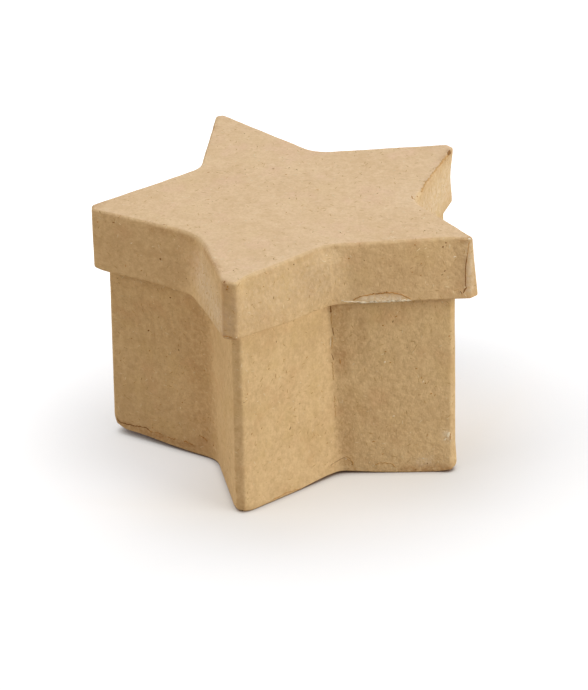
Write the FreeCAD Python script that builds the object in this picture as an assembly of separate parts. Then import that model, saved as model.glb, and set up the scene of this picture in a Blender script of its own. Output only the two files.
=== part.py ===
"""Star-shaped kraft paper box with a lift-off lid, in millimetres.

Four pieces of paper-covered board: a strip folded into the star-shaped wall of the box, the star
panel glued into its foot as the floor, a second folded strip as the rim of the lid, and the star
panel glued into that rim as the top. The lid stands on the wall's upper edge.

Frame: the origin is the middle of the star on the face the box stands on, +Z is up, and the
front tip points along -Y.
"""

import FreeCAD, Part
import math
import os

os.makedirs("parts", exist_ok=True)

# Overall sizes
box_height = 57.1          # foot of the box to the upper edge of its wall
lid_depth = 14.0           # outside height of the lid's rim
tip_radius = 48.0          # centre to where the two sides of a lid tip would meet
hollow_radius = 27.2       # centre to where the two sides of a lid hollow would meet

# Board and paper together
wall_thickness = 1.3       # folded strips of the box and the lid
top_thickness = 1.6        # star panel in the lid
floor_thickness = 1.6      # star panel in the box
lid_clearance = 0.6        # all round, between the lid's rim and the box's wall

# Folds and edges
lid_tip_flat = 1.2         # width of the blunt end of a lid tip, on the inside of the board
box_tip_flat = 0.45        # width of the blunt end of a box tip, on the inside of the board
lid_hollow_round = 7.0     # outside radius of the fold in a lid hollow
box_hollow_round = 3.5     # outside radius of the fold in a box hollow
lid_fold_round = 1.0       # outside radius of the two folds at a lid tip
box_fold_round = 0.8       # outside radius of the two folds at a box tip
inner_fold_round = 0.15    # the same folds, on the inside of the board
lid_edge_round = 0.8       # upper outside edge of the lid
rim_edge_round = 0.3       # lower outside edge of the lid's rim
foot_edge_round = 0.5      # lower outside edge of the box

# How far each corner of this hand-made star stands off a regular one: (outward, sideways).
# The corners run counter-clockwise from the front tip, tips and hollows by turns.
corner_offsets = [
    (-0.6, -1.3),          # front tip
    (0.1, -1.3),
    (0.0, 3.2),            # right tip
    (0.4, -3.6),
    (0.1, -1.3),           # back right tip
    (-1.2, 1.7),
    (4.2, 0.4),            # back left tip
    (0.3, -2.9),
    (-0.5, 1.0),           # left tip
    (0.1, 1.8),
]
front_angle = -90.0        # direction of the front tip

# Heights that follow
overall_height = box_height + top_thickness
rim_foot = overall_height - lid_depth
box_inset = wall_thickness + lid_clearance


def star_corners():
    """The ten sharp corners of the lid's outside, counter-clockwise from the front tip."""
    corners = []
    for index, (outward, sideways) in enumerate(corner_offsets):
        angle = math.radians(front_angle + index * 360.0 / len(corner_offsets))
        radius = (tip_radius if index % 2 == 0 else hollow_radius) + outward
        x = radius * math.cos(angle) - sideways * math.sin(angle)
        y = radius * math.sin(angle) + sideways * math.cos(angle)
        corners.append(FreeCAD.Vector(x, y, 0))
    return corners


def inset_corners(corners, distance):
    """The corners of the same outline with every side moved inward by one distance."""
    moved = []
    for index, corner in enumerate(corners):
        before = (corner - corners[index - 1]).normalize()
        after = (corners[(index + 1) % len(corners)] - corner).normalize()
        inward_before = FreeCAD.Vector(-before.y, before.x, 0)
        inward_after = FreeCAD.Vector(-after.y, after.x, 0)
        bisector = inward_before + inward_after
        moved.append(corner + bisector * (distance / bisector.dot(inward_before)))
    return moved


def blunt_tips(corners, flat):
    """Each tip cut square across at the given width: two folds in place of one sharp point."""
    cut = []
    for index, corner in enumerate(corners):
        if index % 2:
            cut.append(corner)
            continue
        back = (corners[index - 1] - corner).normalize()
        ahead = (corners[(index + 1) % len(corners)] - corner).normalize()
        reach = flat / 2 / math.sin(back.getAngle(ahead) / 2)
        cut.append(corner + back * reach)
        cut.append(corner + ahead * reach)
    return cut


def outline_wire(corners, fold_round, hollow_round, height):
    """A closed outline at one height, its folds rounded and its hollows rounded more."""
    edges = []
    starts = []
    ends = []
    arcs = []
    for index, corner in enumerate(corners):
        back = (corners[index - 1] - corner).normalize()
        ahead = (corners[(index + 1) % len(corners)] - corner).normalize()
        turn = math.pi - back.getAngle(ahead)
        is_hollow = back.cross(ahead).z > 0
        radius = hollow_round if is_hollow else fold_round
        reach = radius * math.tan(turn / 2)
        start = corner + back * reach
        end = corner + ahead * reach
        middle = corner + (back + ahead).normalize() * (radius / math.cos(turn / 2) - radius)
        lift = FreeCAD.Vector(0, 0, height)
        starts.append(start + lift)
        ends.append(end + lift)
        arcs.append(Part.Arc(start + lift, middle + lift, end + lift).toShape())
    for index, arc in enumerate(arcs):
        edges.append(arc)
        edges.append(Part.LineSegment(ends[index], starts[(index + 1) % len(starts)]).toShape())
    return Part.Wire(edges)


def star_prism(corners, fold_round, hollow_round, foot, top):
    """A solid star between two heights."""
    face = Part.Face(outline_wire(corners, fold_round, hollow_round, foot))
    return face.extrude(FreeCAD.Vector(0, 0, top - foot))


def round_outer_edge(solid, height, radius):
    """Rounds the outside edge of a star solid where it ends at the given height."""
    level = [
        edge
        for edge in solid.Edges
        if abs(edge.BoundBox.ZMin - height) < 1e-6 and abs(edge.BoundBox.ZMax - height) < 1e-6
    ]
    return solid.makeFillet(radius, level)


lid_inside = blunt_tips(inset_corners(star_corners(), wall_thickness), lid_tip_flat)
lid_outside = inset_corners(lid_inside, -wall_thickness)
lid_inner_hollow = lid_hollow_round + wall_thickness

box_inside = blunt_tips(inset_corners(star_corners(), box_inset + wall_thickness), box_tip_flat)
box_outside = inset_corners(box_inside, -wall_thickness)
box_inner_hollow = box_hollow_round + wall_thickness


def make_lid_rim():
    """The lid's folded strip, its upper edge rounded where the cover paper turns over it."""
    outer = star_prism(lid_outside, lid_fold_round, lid_hollow_round, rim_foot, overall_height)
    outer = round_outer_edge(outer, overall_height, lid_edge_round)
    outer = round_outer_edge(outer, rim_foot, rim_edge_round)
    inner = star_prism(lid_inside, inner_fold_round, lid_inner_hollow, rim_foot, overall_height)
    return outer.cut(inner)


def make_lid_top():
    """The star panel glued inside the rim, flush with its upper edge."""
    return star_prism(lid_inside, inner_fold_round, lid_inner_hollow, box_height, overall_height)


def make_box_wall():
    """The box's folded strip: an open star-shaped tube."""
    outer = star_prism(box_outside, box_fold_round, box_hollow_round, 0, box_height)
    outer = round_outer_edge(outer, 0, foot_edge_round)
    inner = star_prism(box_inside, inner_fold_round, box_inner_hollow, 0, box_height)
    return outer.cut(inner)


def make_box_floor():
    """The star panel glued into the foot of the wall."""
    return star_prism(box_inside, inner_fold_round, box_inner_hollow, 0, floor_thickness)


pieces = {
    "box_wall": make_box_wall(),
    "box_floor": make_box_floor(),
    "lid_rim": make_lid_rim(),
    "lid_top": make_lid_top(),
}
for name, shape in pieces.items():
    shape.exportStep("parts/" + name + ".step")
    print(name, "solids", len(shape.Solids), "valid", shape.isValid(), "mm3", round(shape.Volume))
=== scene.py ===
import math

import bpy
import numpy as np
from mathutils import Matrix, Vector
from mathutils.bvhtree import BVHTree


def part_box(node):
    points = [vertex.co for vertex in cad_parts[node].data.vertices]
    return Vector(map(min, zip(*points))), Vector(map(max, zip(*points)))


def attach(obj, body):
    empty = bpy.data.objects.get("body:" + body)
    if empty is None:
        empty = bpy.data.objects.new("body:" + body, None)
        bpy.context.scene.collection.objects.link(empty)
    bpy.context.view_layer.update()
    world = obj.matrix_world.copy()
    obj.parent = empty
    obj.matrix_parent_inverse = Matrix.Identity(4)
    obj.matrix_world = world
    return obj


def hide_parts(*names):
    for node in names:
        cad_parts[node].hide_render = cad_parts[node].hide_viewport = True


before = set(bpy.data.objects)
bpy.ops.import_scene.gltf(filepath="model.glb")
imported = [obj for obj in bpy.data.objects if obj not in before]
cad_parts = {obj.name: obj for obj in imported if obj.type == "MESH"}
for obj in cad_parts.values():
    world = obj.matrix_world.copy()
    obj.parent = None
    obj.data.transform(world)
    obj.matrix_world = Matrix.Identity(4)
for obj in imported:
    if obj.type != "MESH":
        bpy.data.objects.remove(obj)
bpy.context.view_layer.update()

MM = 0.001

# Heights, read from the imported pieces
rim_low, rim_high = (corner.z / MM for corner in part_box("lid_rim"))
panel_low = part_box("lid_top")[0].z / MM
wall_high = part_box("box_wall")[1].z / MM
floor_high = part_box("box_floor")[1].z / MM

# Star outline, in millimetres, as the folded strips have it
TIP_RADIUS = 48.0
HOLLOW_RADIUS = 27.2
WALL = 1.3
CLEARANCE = 0.6
FRONT_ANGLE = -90.0
CORNERS = ("front_tip", "front_right_hollow", "right_tip", "back_right_hollow", "back_right_tip",
           "back_hollow", "back_left_tip", "back_left_hollow", "left_tip", "front_left_hollow")
CORNER_OFFSETS = dict(zip(CORNERS, (
    (-0.6, -1.3), (0.1, -1.3), (0.0, 3.2), (0.4, -3.6), (0.1, -1.3),
    (-1.2, 1.7), (4.2, 0.4), (0.3, -2.9), (-0.5, 1.0), (0.1, 1.8))))

# How each corner of this one leans and flares: (outward, sideways) more at the strip's end
LID_TOP_SHIFT = {"front_tip": (-0.3, -0.2), "front_right_hollow": (-0.3, 0.0), "right_tip": (-1.8, 0.7),
                 "back_right_tip": (0.0, 0.36), "back_left_tip": (0.9, -0.45), "left_tip": (-0.15, 0.15),
                 "front_left_hollow": (0.4, 0.0)}
LID_FOOT_SHIFT = {"front_tip": (-0.5, -0.2), "right_tip": (1.0, 0.2), "back_right_tip": (-0.3, 0.36),
                  "back_left_tip": (0.4, -0.2), "left_tip": (-0.15, 0.5), "front_left_hollow": (2.0, -1.7)}
BOX_TOP_SHIFT = {"front_tip": (0.0, 0.1), "front_right_hollow": (0.2, -0.6), "right_tip": (-1.9, 0.0),
                 "left_tip": (-0.8, 0.0)}
BOX_FOOT_SHIFT = {"front_tip": (0.65, 0.0), "front_right_hollow": (0.3, 2.4), "right_tip": (-0.2, -1.85),
                  "left_tip": (0.1, -1.0), "front_left_hollow": (-0.4, 0.0)}

# The blunt end of each tip, upper and lower: (width, degrees that it turns to its earlier side)
LID_CUTS = {"front_tip": ((3.0, 0), (2.9, 0)), "right_tip": ((0.9, 12), (2.7, 20)),
            "back_right_tip": ((2.4, 0), (2.4, 0)), "back_left_tip": ((1.9, 0), (2.3, 0)),
            "left_tip": ((2.5, 0), (2.5, 0))}
BOX_CUTS = {"front_tip": ((2.0, 0), (2.0, 0)), "right_tip": ((1.7, 18), (1.9, 12)),
            "back_right_tip": ((1.9, 0), (1.9, 0)), "back_left_tip": ((1.9, 0), (1.9, 0)),
            "left_tip": ((1.9, 0), (1.9, 0))}

# Radius of the fold in each hollow, upper and lower
LID_HOLLOWS = {"front_right_hollow": (3.6, 5.0), "back_right_hollow": (6.0, 6.0),
               "back_hollow": (7.0, 7.0), "back_left_hollow": (7.0, 7.0),
               "front_left_hollow": (13.0, 5.0)}
BOX_HOLLOWS = {"front_right_hollow": (0.7, 4.5), "back_right_hollow": (3.5, 3.5),
               "back_hollow": (3.5, 3.5), "back_left_hollow": (3.5, 3.5),
               "front_left_hollow": (3.5, 6.0)}

# Where the rim's skin leans in toward the top: (from fold, to fold, how far at the top)
LID_LEANS = (("front_tip_after", "right_tip_before", -1.0), ("front_left_hollow", "front_tip_before", -0.3))

# The skin bridges the front right hollow of the rim: (reach to the left, to the right, height)
LID_WEB = (7.5, 4.3, 1.25)

# How far the rim's lower edge and the box's foot stand off level: (fold, how far past it, half width, rise)
RIM_LIFTS = (("left_tip_after", 0.0, 19.0, -1.0), ("front_left_hollow", 0.0, 9.0, -1.0),
             ("left_tip_before", 0.0, 3.0, 0.8), ("front_right_hollow", -10.0, 7.5, -0.6))
FOOT_LIFTS = (("left_tip_after", 0.0, 24.0, 0.7), ("left_tip_after", 0.0, 14.0, 0.6),
              ("left_tip_after", 0.0, 2.0, 0.7), ("left_tip_after", 7.0, 7.0, 0.35),
              ("right_tip_before", 0.0, 2.5, 0.6), ("front_right_hollow", 0.0, 8.0, 0.45),
              ("front_right_hollow", -4.0, 5.0, 0.3))

# The rim's lower edge gapes beside a fold: (fold, how far past it, half width, height, how far)
RIM_GAPE = ("front_right_hollow", 10.5, 5.5, 4.0, 0.35)

# The upright edge of this tip bows in at its middle: (fold, half width, how far)
RIM_BOW = ("back_right_tip_before", 2.5, 0.45)

# The box's foot flares at one tip and is worn in at others, in the same terms as the gape
FOOT_FLARE = ("right_tip_before", 0.5, 3.0, 7.0, 0.5)
FOOT_WEAR = (("left_tip_before", 1.0, 2.5, 4.5, 0.8), ("right_tip_after", 0.0, 1.4, 2.2, 0.8),
             ("front_tip_before", 0.0, 1.4, 2.2, 0.8), ("front_tip_after", 0.0, 1.4, 2.2, 0.8))

# The waves that wet paper leaves when it dries: (height, size)
RIM_COCKLES = ((0.15, 21.0), (0.05, 8.0), (0.02, 2.6))
BOX_COCKLES = ((0.15, 24.0), (0.05, 9.0), (0.02, 2.6))
TOP_COCKLES = ((0.13, 19.0), (0.03, 6.0))

# Creases, seams and torn edges, as (kind, width, raggedness, places that the line runs through)
LID_LINES = (
    ("brown", 0.20, 0.5, ((44.0, -11.2, 57.9), (43.8, -11.4, 56.8), (43.7, -11.6, 55.4),
                          (43.6, -11.9, 54.1))),
    # A dark crack down the seam: dirt in the glue, and painted shade for the groove.
    ("dark", 0.23, 0.5, ((43.6, -11.9, 54.6), (43.4, -12.2, 52.5), (43.4, -12.4, 50.8),
                         (43.5, -12.8, 47.8), (43.7, -12.9, 47.3))),
    ("dark", 0.42, 0.4, ((43.8, -12.9, 47.4), (43.3, -13.1, 46.7), (43.1, -13.2, 46.1))),
    ("dark", 0.26, 0.4, ((42.3, -13.4, 46.7), (42.6, -13.4, 46.3), (42.9, -13.3, 45.9))),
    ("tan", 0.42, 1.0, ((29.0, 32.2, 58.5), (28.3, 28.5, 58.5), (28.2, 26.9, 58.5), (28.0, 24.1, 58.6))),
    ("tan", 0.34, 1.2, ((28.0, 24.6, 58.6), (27.8, 21.1, 58.7), (27.6, 18.2, 58.7), (27.4, 15.9, 58.7),
                        (27.4, 12.2, 58.5), (27.5, 10.5, 58.3))),
    ("brown", 0.30, 0.8, ((28.2, 28.2, 58.5), (28.1, 26.0, 58.5))),
    ("dark", 0.80, 0.6, ((28.4, 32.0, 58.4), (28.5, 34.2, 58.6))),
    ("brown", 0.32, 0.4, ((26.0, 7.6, 58.7), (26.6, 6.1, 58.7), (27.3, 5.9, 58.5))),
    ("brown", 0.36, 0.5, ((-3.1, -44.3, 45.3), (-2.3, -44.7, 45.5), (-1.4, -44.7, 45.4),
                          (-0.9, -44.7, 45.0))),
    ("brown", 0.30, 0.6, ((19.8, -21.3, 45.4), (20.6, -21.0, 45.9), (21.9, -20.6, 46.4),
                          (24.0, -19.8, 46.7), (25.7, -19.2, 46.8), (27.3, -18.6, 46.9),
                          (29.4, -17.9, 46.6), (31.1, -17.4, 45.8), (32.2, -17.1, 45.1))),
    ("dark", 0.34, 0.8, ((24.6, -19.6, 46.7), (25.7, -19.2, 46.8), (27.3, -18.6, 46.9))),
    ("pale", 0.30, 0.5, ((17.7, -22.0, 45.4), (19.8, -21.4, 45.1), (21.5, -20.8, 45.0))),
    ("pale", 0.55, 0.4, ((21.0, -21.0, 44.9), (24.7, -19.8, 44.9), (27.8, -18.7, 44.9),
                         (29.9, -17.9, 44.9), (32.2, -17.1, 44.9))),
)
BOX_LINES = (
    # Dark cracks down the front right hollow, here and below: dirt in the glue, and painted shade for their
    # groove.
    ("dark", 0.45, 0.5, ((14.7, -21.2, 43.6), (14.7, -21.2, 42.3), (14.7, -21.2, 41.6))),
    ("tan", 0.22, 0.9, ((14.8, -21.1, 41.6), (14.8, -21.2, 38.5))),
    ("dark", 0.22, 0.5, ((15.0, -21.1, 38.0), (15.2, -21.0, 36.6), (15.3, -20.9, 35.8))),
    ("tan", 0.26, 0.8, ((14.9, -21.1, 35.8), (14.8, -21.1, 32.4))),
    ("pale", 0.18, 0.8, ((14.6, -21.4, 35.4), (14.6, -21.4, 33.2))),
    ("dark", 0.22, 0.5, ((14.8, -21.2, 31.4), (15.0, -21.1, 30.4), (15.2, -21.0, 29.6))),
    ("brown", 0.24, 0.6, ((16.4, -20.4, 30.0), (16.5, -20.3, 28.4))),
    ("tan", 0.24, 0.9, ((14.9, -21.1, 29.2), (15.0, -21.0, 24.5))),
    ("tan", 0.24, 0.9, ((15.2, -20.9, 20.5), (15.4, -20.8, 15.0))),
    ("dark", 0.15, 0.7, ((14.3, -22.2, 3.1), (15.6, -20.8, 3.6), (17.2, -19.8, 4.4))),
    ("tan", 0.25, 0.7, ((17.0, -19.9, 4.3), (18.0, -19.5, 3.6), (18.7, -19.3, 3.0))),
    ("brown", 0.26, 0.7, ((40.3, -13.0, 10.0), (40.2, -13.0, 8.2))),
    ("tan", 0.20, 0.6, ((39.4, -13.2, 14.0), (40.6, -12.8, 14.8))),
    ("dark", 0.36, 0.7, ((-38.8, -14.4, 3.1), (-36.1, -15.1, 3.2), (-33.4, -15.8, 3.5),
                         (-31.7, -16.3, 3.7), (-31.0, -16.5, 3.1))),
    ("brown", 0.40, 1.0, ((-31.2, -16.5, 3.4), (-30.6, -16.6, 2.8), (-30.2, -16.7, 3.4))),
    ("brown", 0.30, 1.0, ((-29.6, -16.9, 3.1), (-28.6, -17.1, 3.2), (-27.2, -17.5, 2.9))),
    ("brown", 0.34, 1.0, ((-26.2, -17.7, 2.7), (-25.1, -18.0, 2.6), (-23.8, -18.4, 2.8))),
    ("brown", 0.34, 1.0, ((-22.0, -18.9, 2.7), (-21.1, -19.1, 2.8), (-19.3, -19.6, 2.6))),
    ("dark", 0.28, 0.5, ((-39.8, -14.2, 4.2), (-39.4, -14.3, 3.4), (-38.7, -14.4, 3.0))),
    ("brown", 0.30, 0.9, ((-17.6, -20.0, 5.6), (-16.4, -20.4, 5.2), (-15.6, -20.6, 4.3))),
    ("brown", 0.22, 0.9, ((4.4, -36.2, 0.5), (6.8, -32.9, 0.9), (9.2, -29.4, 0.5))),
    ("tan", 0.30, 0.9, ((17.4, -19.8, 4.6), (18.6, -19.3, 3.6), (18.9, -19.3, 2.0))),
    ("tan", 0.30, 0.9, ((23.4, -18.0, 1.9), (24.6, -17.6, 2.7), (27.4, -17.0, 2.4), (28.4, -16.6, 1.4))),
)

# Small knots, specks and chips: (kind, length, width, degrees from level, place)
LID_SPECKS = (
    ("dark", 0.7, 0.6, 0, (-24.9, -21.2, 50.4)), ("brown", 0.9, 0.25, 90, (-34.1, -18.9, 46.6)),
    ("brown", 0.6, 0.3, 10, (-30.0, -20.1, 46.4)), ("dark", 0.8, 0.35, 0, (-36.9, -17.8, 56.6)),
    ("brown", 0.7, 0.35, 20, (-41.1, -16.8, 55.8)), ("pale", 0.7, 0.35, 30, (-32.4, -19.1, 52.5)),
    ("dark", 0.95, 0.25, 85, (6.2, -35.7, 51.3)), ("brown", 0.5, 0.35, 0, (8.7, -32.1, 49.6)),
    ("brown", 0.5, 0.3, 0, (4.7, -37.8, 54.8)), ("brown", 0.5, 0.25, 60, (2.8, -40.7, 51.6)),
    ("dark", 0.55, 0.45, 0, (9.7, -30.4, 57.2)), ("dark", 0.6, 0.4, 30, (38.6, -13.4, 56.8)),
    ("dark", 0.5, 0.35, 0, (39.2, -13.1, 57.7)), ("dark", 0.5, 0.35, 60, (39.1, -13.9, 51.3)),
    ("brown", 0.5, 0.35, 0, (34.1, -15.8, 50.6)), ("brown", 0.6, 0.3, 40, (34.1, -15.5, 53.2)),
    ("brown", 0.5, 0.3, 0, (32.3, -16.4, 51.4)), ("brown", 0.6, 0.4, 10, (32.8, -15.5, 57.6)),
    ("pale", 0.8, 0.35, 20, (41.0, -12.8, 54.4)), ("brown", 0.6, 0.4, 0, (19.1, -21.0, 55.3)),
    ("dark", 0.9, 0.22, 40, (-8.7, 14.4, 58.7)), ("brown", 0.8, 0.3, 0, (-4.9, 11.9, 58.7)),
    ("brown", 1.3, 0.25, 50, (4.4, 5.6, 58.7)), ("dark", 0.5, 0.3, 0, (-0.5, -0.6, 58.7)),
    ("brown", 0.6, 0.3, 120, (0.9, -7.9, 58.7)), ("brown", 0.7, 0.3, 30, (-18.3, -5.2, 58.7)),
    ("brown", 0.7, 0.3, 150, (-18.8, -19.3, 58.7)), ("brown", 0.7, 0.35, 10, (-24.0, -20.2, 58.7)),
    ("dark", 0.6, 0.25, 70, (-2.1, -38.9, 58.7)), ("brown", 0.9, 0.3, 20, (-22.7, 8.8, 58.7)),
    ("brown", 0.6, 0.4, 60, (27.3, 8.1, 58.4)), ("brown", 0.5, 0.4, 0, (29.8, 0.3, 58.6)),
    ("dark", 0.7, 0.5, 40, (-2.5, -44.4, 58.5)), ("brown", 0.9, 0.5, 80, (-1.7, -44.6, 57.6)),
    ("brown", 0.7, 0.5, 10, (-1.9, -44.7, 56.9)), ("pale", 0.45, 0.25, 0, (-2.0, -44.7, 45.3)),
    ("pale", 0.45, 0.25, 20, (-0.1, -44.6, 45.4)), ("pale", 0.9, 0.45, 0, (43.9, -11.0, 58.6)),
    ("dark", 0.55, 0.4, 0, (24.2, -19.8, 46.9)), ("dark", 0.45, 0.35, 0, (27.0, -18.8, 47.1)),
    ("pale", 0.8, 0.3, 10, (17.6, -22.0, 45.6)),
)
BOX_SPECKS = (
    ("dark", 0.6, 0.5, 0, (-23.8, -18.6, 39.6)), ("dark", 0.7, 0.5, 20, (-30.0, -16.9, 29.6)),
    ("brown", 0.7, 0.3, 50, (-30.0, -16.9, 24.4)), ("brown", 0.6, 0.3, 0, (-15.6, -20.7, 23.0)),
    ("brown", 0.6, 0.35, 30, (-21.8, -18.9, 13.0)), ("brown", 0.6, 0.4, 10, (-30.1, -16.7, 4.1)),
    ("dark", 0.7, 0.3, 80, (-16.5, -20.3, 5.2)), ("brown", 0.6, 0.35, 60, (-13.8, -21.3, 4.1)),
    ("brown", 1.0, 0.4, 10, (23.4, -18.0, 8.3)), ("dark", 0.5, 0.4, 0, (18.7, -19.3, 2.4)),
    ("dark", 0.4, 0.35, 0, (35.2, -14.7, 2.4)), ("pale", 2.0, 1.0, 70, (39.7, -13.2, 9.6)),
    ("pale", 1.0, 0.5, 30, (39.0, -13.4, 8.4)), ("pale", 0.8, 0.4, 12, (34.2, -14.9, 3.6)),
    ("pale", 0.9, 0.35, 0, (17.4, -19.7, 3.9)), ("dark", 0.6, 0.25, 80, (5.7, -33.9, 39.7)),
    ("brown", 0.6, 0.35, 60, (4.4, -35.9, 33.8)), ("brown", 1.6, 0.22, 85, (5.5, -34.3, 31.3)),
    ("dark", 1.3, 0.30, 55, (7.7, -31.4, 16.8)), ("brown", 1.1, 0.22, 88, (7.2, -31.8, 31.3)),
    ("tan", 0.8, 0.30, 80, (8.4, -30.2, 21.1)), ("brown", 0.6, 0.3, 40, (0.9, -41.1, 29.7)),
    ("brown", 0.7, 0.3, 50, (1.5, -40.5, 19.5)), ("brown", 0.8, 0.25, 60, (3.1, -38.1, 19.8)),
    ("tan", 1.4, 0.22, 88, (7.3, -31.7, 26.4)), ("tan", 0.9, 0.3, 10, (11.3, -25.9, 23.4)),
    ("brown", 0.7, 0.35, 30, (10.6, -26.8, 32.8)), ("tan", 0.8, 0.3, 70, (13.5, -23.1, 12.0)),
    ("brown", 0.6, 0.3, 20, (13.8, -22.7, 9.2)), ("brown", 0.6, 0.3, 60, (2.1, -39.6, 16.2)),
    ("tan", 0.9, 0.25, 85, (7.5, -31.7, 12.2)), ("pale", 0.7, 0.4, 20, (27.8, -16.6, 14.7)),
    ("brown", 0.6, 0.35, 0, (25.4, -17.4, 5.0)), ("brown", 1.0, 0.22, 80, (35.1, -14.5, 9.5)),
    ("pale", 0.7, 0.5, 60, (26.0, -17.2, 28.6)), ("brown", 0.6, 0.4, 20, (27.2, -16.8, 28.4)),
    ("brown", 0.6, 0.45, 0, (26.2, -17.1, 31.2)), ("brown", 0.8, 0.4, 30, (28.5, -16.3, 39.9)),
    ("brown", 0.6, 0.4, 0, (25.7, -17.3, 37.8)), ("brown", 0.7, 0.35, 60, (33.9, -14.7, 24.2)),
    ("pale", 0.8, 0.3, 70, (34.2, -14.5, 23.2)), ("brown", 0.6, 0.4, 20, (34.7, -14.3, 22.8)),
    ("brown", 0.7, 0.4, 30, (35.9, -14.0, 20.1)), ("tan", 0.8, 0.3, 60, (36.8, -13.9, 19.7)),
    ("brown", 0.7, 0.45, 10, (40.0, -12.9, 34.4)), ("brown", 0.7, 0.4, 0, (32.7, -14.9, 26.6)),
    ("brown", 0.6, 0.3, 30, (-34.6, -15.7, 26.4)), ("tan", 0.7, 0.3, 50, (-27.2, -17.7, 33.7)),
    ("brown", 0.6, 0.3, 0, (-25.5, -18.0, 24.0)), ("tan", 0.8, 0.3, 70, (-22.2, -18.9, 27.8)),
    ("brown", 0.5, 0.3, 10, (-37.9, -14.8, 19.8)), ("tan", 0.7, 0.3, 20, (-27.7, -17.3, 10.9)),
)

# Soft stained and worn places, paler or browner tones, and painted light and shade: (attribute, radius,
# strength, places that the mark runs through)
LID_STAINS_AND_PAINTED_SHADING = (
    ("rub_and_painted_shade", 0.9, 0.8, ((40.3, -12.7, 57.3), (41.5, -12.1, 58.2), (42.7, -11.6, 58.4), (44.1, -10.8, 58.5))),
    ("rub_and_painted_shade", 0.8, 0.6, ((43.6, -11.9, 54.1), (43.4, -12.4, 50.8), (43.7, -12.9, 47.3))),
    ("rub_and_painted_shade", 1.0, 0.9, ((28.2, 28.5, 58.5), (28.6, 34.0, 58.5))),
    ("rub_and_painted_shade", 0.9, 0.5, ((28.0, 24.1, 58.6), (27.4, 12.2, 58.5))),
    ("pale", 5.5, 0.45, ((29.5, 32.0, 51.5), (27.5, 6.0, 51.5))),
    # Painted light: a paler band on the rim's front left face, where light from the left falls.
    ("pale", 5.0, 0.42, ((-12.0, -27.5, 51.0), (-4.5, -41.0, 48.5))),
    # Painted light and shade that give three faces their tone under the lamps: paler on the rim's front
    # right face, browner down the front tip's end and across the right tip's front face.
    ("pale", 7.0, 0.15, ((2.0, -41.0, 52.0), (13.0, -25.0, 52.0))),
    ("rub_and_painted_shade", 1.5, 0.40, ((-1.8, -44.6, 57.0), (-1.8, -44.6, 46.0))),
    ("rub_and_painted_shade", 8.0, 0.20, ((27.0, -18.0, 52.0), (40.0, -14.0, 52.0))),
    ("rub_and_painted_shade", 1.1, 0.45, ((-27.4, -20.1, 57.0), (-20.9, -21.5, 57.9), (-14.8, -24.2, 57.0))),
    ("rub_and_painted_shade", 0.8, 0.7, ((-11.7, -28.9, 57.6), (-8.0, -35.4, 58.3), (-4.8, -39.6, 58.5))),
    ("rub_and_painted_shade", 1.2, 0.8, ((-2.5, -44.4, 58.4), (-1.5, -44.6, 56.8))),
    ("rub_and_painted_shade", 0.7, 0.6, ((-3.2, -44.4, 57.0), (-3.2, -44.4, 45.5))),
    ("rub_and_painted_shade", 0.6, 0.5, ((-0.4, -44.4, 57.0), (-0.3, -44.4, 45.5))),
    ("rub_and_painted_shade", 1.2, 0.9, ((-3.0, -44.4, 45.2), (-0.6, -44.6, 44.9))),
    ("rub_and_painted_shade", 1.0, 0.8, ((-29.9, 35.5, 58.2), (-28.8, 33.0, 58.2))),
    ("rub_and_painted_shade", 1.0, 0.7, ((-41.5, -12.5, 58.4), (-42.0, -14.8, 58.0))),
    ("rub_and_painted_shade", 0.9, 0.6, ((25.0, -19.5, 46.9), (30.0, -17.6, 46.3))),
    ("pale", 1.2, 0.40, ((44.4, -11.6, 57.0), (44.6, -12.6, 47.0))),
    ("pale", 0.7, 0.5, ((22.0, -20.4, 45.6), (26.0, -19.2, 45.8), (30.0, -17.8, 45.5))),
)
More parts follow.
